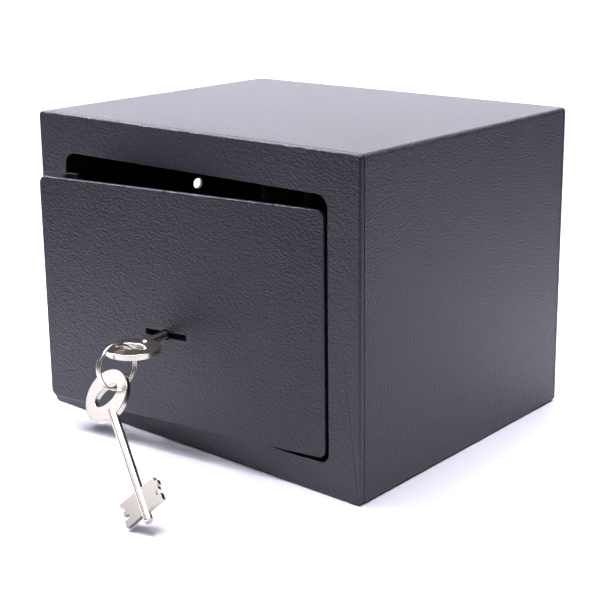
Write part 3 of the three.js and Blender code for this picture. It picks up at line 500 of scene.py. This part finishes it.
round_face(front, front_low.y, OUTER_EDGE, 5, by_outline)
round_face(front, front_low.y, OPENING_EDGE, 3, lambda middle: not by_outline(middle))
round_face(front, front_high.y, RIM_EDGE, 2)
shade(front)
stand_in(front, "body", "front_plate", coat)

# %% Back plate
BACK_HOLE_RADIUS = 4.5
BACK_HOLE_SPACING = 130
BACK_HOLE_HEIGHT = 120

back_low, back_high = corners("back_plate")
back = plate("back", back_low - flush, back_high + flush, PLATE_CORNER)
for side in (-1, 1):
    centre = Vector((side * BACK_HOLE_SPACING / 2 * MM, back_low.y, BACK_HOLE_HEIGHT * MM))
    cut_away(back, bar("hole", centre - past, centre + through, BACK_HOLE_RADIUS * MM))
round_face(back, back_high.y, OPENING_EDGE)
round_face(back, back_low.y, RIM_EDGE, 2)
shade(back)
stand_in(back, "body", "back_plate", coat)

# %% [markdown]
# ## The mat
# The felt is a loose sheet with round cut corners. Its edges are rubbed round.

# %% Mat
MAT_CORNER = 4
MAT_EDGE = 0.7

mat = block("mat", *corners("floor_mat"))
pick(mat, "EDGE", along_axis(2))
bevel_picked(MAT_CORNER * MM, 6)
round_edges(mat, MAT_EDGE * MM, 3)
shade(mat)
stand_in(mat, "body", "floor_mat", felt)

# %% [markdown]
# ## The door
# The door is one thick plate. We make it shut, where it is square to the axes, round its edges, cut the
# keyhole through it, and swing it ajar at the end. The keyhole is a level slot for the bits with a round
# hole for the shank. Its lower lip, like the door's top edge, catches the light from above.

# %% Door plate
DOOR_CORNER = 4.2
DOOR_EDGE = 0.9
KEYHOLE_EDGE = 0.3
SLOT_LENGTH = 26
SLOT_HEIGHT = 3.2
KEYHOLE_RADIUS = 2.9
KEY_FROM_LATCH_EDGE = 82.35
KEY_FROM_DOOR_BOTTOM = 49.1

keyhole = door_low + Vector((KEY_FROM_LATCH_EDGE, 0, KEY_FROM_DOOR_BOTTOM)) * MM


def swing(piece):
    piece.data.transform(TO_AJAR)
    return piece


door = plate("door", door_low, door_high, DOOR_CORNER, 8)
round_edges(door, DOOR_EDGE * MM, 4)
bit_slot_half = Vector((SLOT_LENGTH / 2, 0, SLOT_HEIGHT / 2)) * MM
cut_away(door, block("slot", keyhole - bit_slot_half - past, keyhole + bit_slot_half + through),
         bar("hole", keyhole - past, keyhole + through, KEYHOLE_RADIUS * MM))
round_face(door, door_low.y, KEYHOLE_EDGE, 2)
shade(door)
stand_in(swing(door), "door", "door_plate", coat)

# %% [markdown]
# ## Softened copies
# The folded brackets, the lock and its screws are already true to shape in the imported model, only with
# sharp edges. For each we take a copy of its mesh, weld its loose triangles together, dissolve the lines
# across its flats, and round its edges as tumbling and plating do. The imported node is left alone.
# The bolt guide's end shows over the top of the door, where it is cut down to a tongue, so its copy
# gets a notch first. The upper hinge pin is near black, as oiled pins often are, and this is also painted
# shade: it keeps the pin as dark as the shadow in the gap above the door.

# %% Softening
WELD_WITHIN = 0.005
FLAT_WITHIN = 0.5


def weld_copy(node):
    piece = bpy.data.objects.new(node + "_finished", frame["nodes"][node].data.copy())
    bpy.context.scene.collection.objects.link(piece)
    make_active(piece)
    bpy.ops.mesh.customdata_custom_splitnormals_clear()
    bpy.ops.object.mode_set(mode="EDIT")
    bpy.ops.mesh.select_all(action="SELECT")
    bpy.ops.mesh.remove_doubles(threshold=WELD_WITHIN * MM)
    bpy.ops.mesh.dissolve_limited(angle_limit=math.radians(FLAT_WITHIN))
    leave_edit()
    return piece


def soften(piece, width_mm):
    round_edges(piece, width_mm * MM, 2)
    shade(piece)
    return piece


def finish_copies(bodies, width_mm, material):
    """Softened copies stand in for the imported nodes. Each node is given with its body."""
    for node, body in bodies.items():
        stand_in(soften(weld_copy(node), width_mm), body, node, material)


# %% Brackets
BRACKET_EDGE = 0.4
GUIDE_END_CUT = 5
GUIDE_END_KEPT = 5

finish_copies({"hinge_block_lower": "body", "hinge_block_upper": "body", "door_lug_lower": "door",
               "door_lug_upper": "door", "hinge_side_dog": "door", "lock_bridge": "door"},
              BRACKET_EDGE, dark_coat)
guide = weld_copy("bolt_guide")
guide_low, guide_high = corners("bolt_guide", TO_SHUT)
notch_low = Vector((guide_low.x - OVERRUN * MM, guide_low.y - OVERRUN * MM,
                    guide_high.z - GUIDE_END_CUT * MM))
notch_high = Vector((guide_high.x, guide_high.y - GUIDE_END_KEPT * MM, guide_high.z + OVERRUN * MM))
cut_away(guide, swing(block("notch", notch_low, notch_high)))
stand_in(soften(guide, BRACKET_EDGE), "door", "bolt_guide", dark_coat)

# %% Lock, pins and screws
PLATED_EDGE = 0.3
FINE_EDGE = 0.15

# The upper pin's near black is partly painted shade, for the dark gap above the door.
finish_copies({"hinge_pin_upper": "door"}, PLATED_EDGE, black_oxide_and_shade)
finish_copies({"hinge_pin_lower": "body", "lock_case": "door", "lock_cover": "door",
               "bolt_carrier": "bolts"}, PLATED_EDGE, zinc)
finish_copies({"bolt_lower": "bolts", "bolt_upper": "bolts", "tail_screw": "bolts", "lever_post": "door"},
              FINE_EDGE, turned_steel)
finish_copies({f"case_screw_{i}": "door" for i in (1, 2, 3, 4)}, FINE_EDGE, turned_steel)
finish_copies({f"cover_screw_{i}": "door" for i in (1, 2)}, FINE_EDGE, turned_steel)
finish_copies({"hinge_washer": "body", "lock_slide": "bolts"}, FINE_EDGE, brass)
finish_copies({f"lock_lever_{i}": "door" for i in (1, 2, 3)}, FINE_EDGE, brass)

# %% [markdown]
# ## The key
# Both keys are the same casting: a round bow with an oval eye, a round shank that runs onto the bow and
# ends in a half ball, and two bits cut with steps that lift the levers. We model one key flat on the
# ground, bow at the origin and tip along Y, and place two copies. The ball is a hair thinner than the
# shank, so that the two skins don't coincide where they are welded.

# %% Key sizes
KEY_LENGTH = 92
BOW_RADIUS = 14
BOW_THICKNESS = 3
EYE_LENGTH = 15.5
EYE_WIDTH = 9
SHANK_RADIUS = 2.3
SHANK_IN_BOW = 4
BIT_THICKNESS = 2.4
BIT_LENGTH = 13.5
BIT_FROM_TIP = 4.5
STEP_SHARES = [0.17, 0.19, 0.19, 0.17, 0.28]
RIGHT_STEPS = [12, 10.2, 11.4, 8.6, 11.8]
LEFT_STEPS = [10.6, 12, 11.2, 9, 11.6]
KEY_TIP = KEY_LENGTH - BOW_RADIUS
BOW_EDGE = 0.4
TIP_EDGE = 0.7
BIT_EDGE = 0.18
TOOTH_OVERLAP = 0.01
HAIR_THINNER = 0.9995


def spot(x, y, z):
    """A place given in millimetres."""
    return Vector((x, y, z)) * MM


def weld_on(piece, other):
    apply_modifier(piece, "BOOLEAN", operation="UNION", object=other, solver="EXACT")
    bpy.data.objects.remove(other)


# %% Bow with its eye
bow = bar("key_pattern", spot(0, 0, -BOW_THICKNESS / 2), spot(0, 0, BOW_THICKNESS / 2),
          BOW_RADIUS * MM, 96)
eye = bar("eye", spot(0, 0, -BOW_THICKNESS), spot(0, 0, BOW_THICKNESS), EYE_LENGTH / 2 * MM, 72)
make_active(eye)
bpy.ops.object.mode_set(mode="EDIT")
bpy.ops.mesh.select_all(action="SELECT")
bpy.ops.transform.resize(value=(1, EYE_WIDTH / EYE_LENGTH, 1))
leave_edit()
cut_away(bow, eye)
round_edges(bow, BOW_EDGE * MM, 4)
print("bow", triangles(bow), "triangles")

# %% Shank
shank_start = BOW_RADIUS - SHANK_IN_BOW
shank = bar("shank", spot(0, shank_start, 0), spot(0, KEY_TIP, 0), SHANK_RADIUS * MM)
pick(shank, "FACE", lambda middle, normal: normal.y > NEARLY_ONE)
bevel_picked(TIP_EDGE * MM, 3)
deselect_all()
bpy.ops.mesh.primitive_uv_sphere_add(segments=48, ring_count=24, radius=SHANK_RADIUS * MM * HAIR_THINNER,
                                     location=spot(0, shank_start, 0), rotation=(math.pi / 2, 0, 0))
nose = bpy.context.object
bpy.ops.object.transform_apply(location=True, rotation=True, scale=True)
weld_on(shank, nose)
weld_on(bow, shank)
print("bow and shank", triangles(bow), "triangles")

# %% [markdown]
# ### The bits
# Each bit is a row of teeth of different reach. Each tooth is a block that starts inside the shank, and
# the blocks are welded one after another along it, each a hundredth of a millimetre into the next. A
# small bevel takes the edge off them all.

# %% Bits
def bit(side, steps):
    piece = None
    start = KEY_TIP - BIT_FROM_TIP - BIT_LENGTH
    for reach, share in zip(steps, STEP_SHARES):
        end = start + share * BIT_LENGTH
        inner, outer = sorted((0, side * reach))
        tooth = block("tooth", spot(inner, start - TOOTH_OVERLAP, -BIT_THICKNESS / 2),
                      spot(outer, end + TOOTH_OVERLAP, BIT_THICKNESS / 2))
        if piece is None:
            piece = tooth
        else:
            weld_on(piece, tooth)
        start = end
    round_edges(piece, BIT_EDGE * MM, 2)
    return piece


weld_on(bow, bit(1, RIGHT_STEPS))
weld_on(bow, bit(-1, LEFT_STEPS))
key_pattern = bow
shade(key_pattern, angle=30)
print("key", triangles(key_pattern), "triangles")

# %% [markdown]
# ### Placing the keys and the ring
# The first key lies level in the lock. The ring hangs from its eye, and the second key leans from the
# ring to the ground. Their places are measured from the keyhole: to the right, out of the door, and up.

# %% Places
BOW_FROM_DOOR = 27
RING_CENTRE = (-3.72, 35.64, -7.35)
RING_ACROSS = (-0.248, 0.969, 0)
RING_UP = (-0.074, -0.019, 0.997)
SPARE_BOW_CENTRE = (-5.8, 41.32, -21.59)
SPARE_ALONG = (0.709, 0.511, -0.487)
SPARE_FLAT = (-0.188, 0.801, 0.568)


def direction(right, out, up):
    return Vector((right, -out, up)).normalized()


def place_at(origin, x_axis, y_axis, z_axis):
    turn = Matrix((x_axis, y_axis, z_axis)).transposed().to_4x4()
    right, out, up = origin
    return TO_AJAR @ Matrix.Translation(keyhole + spot(right, -out, up)) @ turn


def key_copy(name, place):
    piece = key_pattern.copy()
    piece.data = key_pattern.data.copy()
    piece.name = name
    bpy.context.scene.collection.objects.link(piece)
    piece.data.transform(place)
    return piece


level = place_at((0, BOW_FROM_DOOR, 0), Vector((1, 0, 0)), Vector((0, 1, 0)), Vector((0, 0, 1)))
spare_y = direction(*SPARE_ALONG)
spare_x = spare_y.cross(direction(*SPARE_FLAT)).normalized()
leaning = place_at(SPARE_BOW_CENTRE, spare_x, spare_y, spare_x.cross(spare_y))
stand_in(key_copy("key_in_lock", level), "key", "working_key", nickel)
stand_in(key_copy("key_on_ring", leaning), "spare", "spare_key", nickel)
bpy.data.objects.remove(key_pattern)

# %% [markdown]
# ## The split ring
# Hardened wire is wound twice round, and one short crossing carries it from the first coil to the second.
# A curve follows the middle of the wire: two turns, with the sideways step at the half way point. Its
# bevel gives the wire its thickness.

# %% Ring
RING_RADIUS = 11.25
WIRE_RADIUS = 0.8
COIL_OFFSET = 0.86
FIRST_ANGLE = 60
CROSSING_ANGLE = 30
RING_POINTS = 360

crossing = math.radians(CROSSING_ANGLE)
sweep = 4 * math.pi - 2 * crossing
path = bpy.data.curves.new("ring_wire", "CURVE")
path.dimensions = "3D"
path.bevel_depth = WIRE_RADIUS * MM
path.bevel_resolution = 5
path.use_fill_caps = True
line = path.splines.new("POLY")
line.points.add(RING_POINTS - 1)
for i, knot in enumerate(line.points):
    turned = i / (RING_POINTS - 1) * sweep
    across = max(-1, min(1, (turned - sweep / 2) / crossing))
    angle = math.radians(FIRST_ANGLE) + crossing + turned
    knot.co = (*spot(RING_RADIUS * math.cos(angle), RING_RADIUS * math.sin(angle),
                     COIL_OFFSET * math.sin(across * math.pi / 2)), 1)
ring_curve = bpy.data.objects.new("ring", path)
bpy.context.scene.collection.objects.link(ring_curve)
make_active(ring_curve)
bpy.ops.object.convert(target="MESH")
ring = bpy.context.object
ring_across = direction(*RING_ACROSS)
ring_up = direction(*RING_UP)
ring.data.transform(place_at(RING_CENTRE, ring_across, ring_up, ring_across.cross(ring_up).normalized()))
smooth(ring, angle=40)
stand_in(ring, "ring", "key_ring", nickel)

# %% [markdown]
# ## The studio
# The safe stands on white paper. A soft light hangs low over it, so the paper is well over white near the
# safe and falls off to the sides: the coat mirrors the near paper low down and the darker far paper
# higher up. Two small lights high at the left and right draw the bright lines along the rounded upper
# edges. A weak one low at the left whitens the spare key, and one at the front left lights the paper that
# the door mirrors.
# A panel behind lays its pale reflection on the top, and a last light whitens the paper in the distance.
# Grids narrow the lights, so that each reaches little more than its own target. The room gives a weak
# even fill. The lights are cool, which tints the shadows violet.

# %% Paper
PAPER_SIZE = 16

bpy.context.scene.view_settings.view_transform = "Standard"
deselect_all()
bpy.ops.mesh.primitive_plane_add(size=PAPER_SIZE, location=(0, 0, 0))
paper = bpy.context.object
paper.name = "paper"
paper_material, _, paper_shader, _ = new_material("matt white paper", Roughness=1.0)
paper_shader.inputs["Specular IOR Level"].default_value = 0.0
paper_shader.inputs["Base Color"].default_value = colour("#F1F0F4")
paper.data.materials.append(paper_material)
print("paper", PAPER_SIZE, "metres square")

# %% Lights
LIGHT_TINT = "#F5F3FF"
ROOM_LIGHT = 0.2
away = Vector((-math.sin(CAMERA_ROUND), math.cos(CAMERA_ROUND), 0))
right = Vector((math.cos(CAMERA_ROUND), math.sin(CAMERA_ROUND), 0))
up = Vector((0, 0, 1))


def soft_light(name, size, place, aim_at, watts, spread=180):
    """Places are metres to the camera's right, away from it, and up."""
    data = bpy.data.lights.new(name, "AREA")
    data.shape = "RECTANGLE"
    data.size, data.size_y = size
    data.energy = watts
    data.spread = math.radians(spread)
    data.color = colour(LIGHT_TINT)[:3]
    lamp = bpy.data.objects.new(name, data)
    start, end = (right * p[0] + away * p[1] + up * p[2] for p in (place, aim_at))
    lamp.location = start
    lamp.rotation_mode = "QUATERNION"
    back = (start - end).normalized()
    across = (right - back * right.dot(back)).normalized()
    lamp.rotation_quaternion = Matrix((across, back.cross(across), back)).transposed().to_quaternion()
    lamp.visible_camera = False
    bpy.context.scene.collection.objects.link(lamp)


soft_light("overhead", (0.9, 0.9), (-0.04, 0.13, 0.8), (-0.04, 0.13, 0), watts=4.8, spread=70)
soft_light("left", (0.35, 0.35), (-0.68, 0.35, 1.05), (-0.03, 0.05, 0.1), watts=1.15, spread=42)
soft_light("low left", (0.8, 0.5), (-0.95, 0.1, 0.72), (0, 0, 0.1), watts=0.25, spread=50)
soft_light("right", (0.35, 0.35), (0.8, 0.5, 0.95), (0, 0.05, 0.1), watts=0.38, spread=42)
soft_light("front left", (0.4, 0.4), (-0.37, -0.2, 0.5), (-0.37, -0.2, 0), watts=0.22, spread=50)
soft_light("panel behind", (2.6, 0.25), (0, 2.2, 0.74), (0, 0, 0.15), watts=23.3)
soft_light("backdrop", (2.6, 4), (0, 2.7, 1.7), (0, 2.7, 0), watts=50, spread=80)
world = bpy.data.worlds.new("studio")
world.use_nodes = True
world.node_tree.nodes["Background"].inputs["Color"].default_value = colour("#E6E4FA")
world.node_tree.nodes["Background"].inputs["Strength"].default_value = ROOM_LIGHT
bpy.context.scene.world = world
print("lights:", [light.name for light in bpy.data.lights])
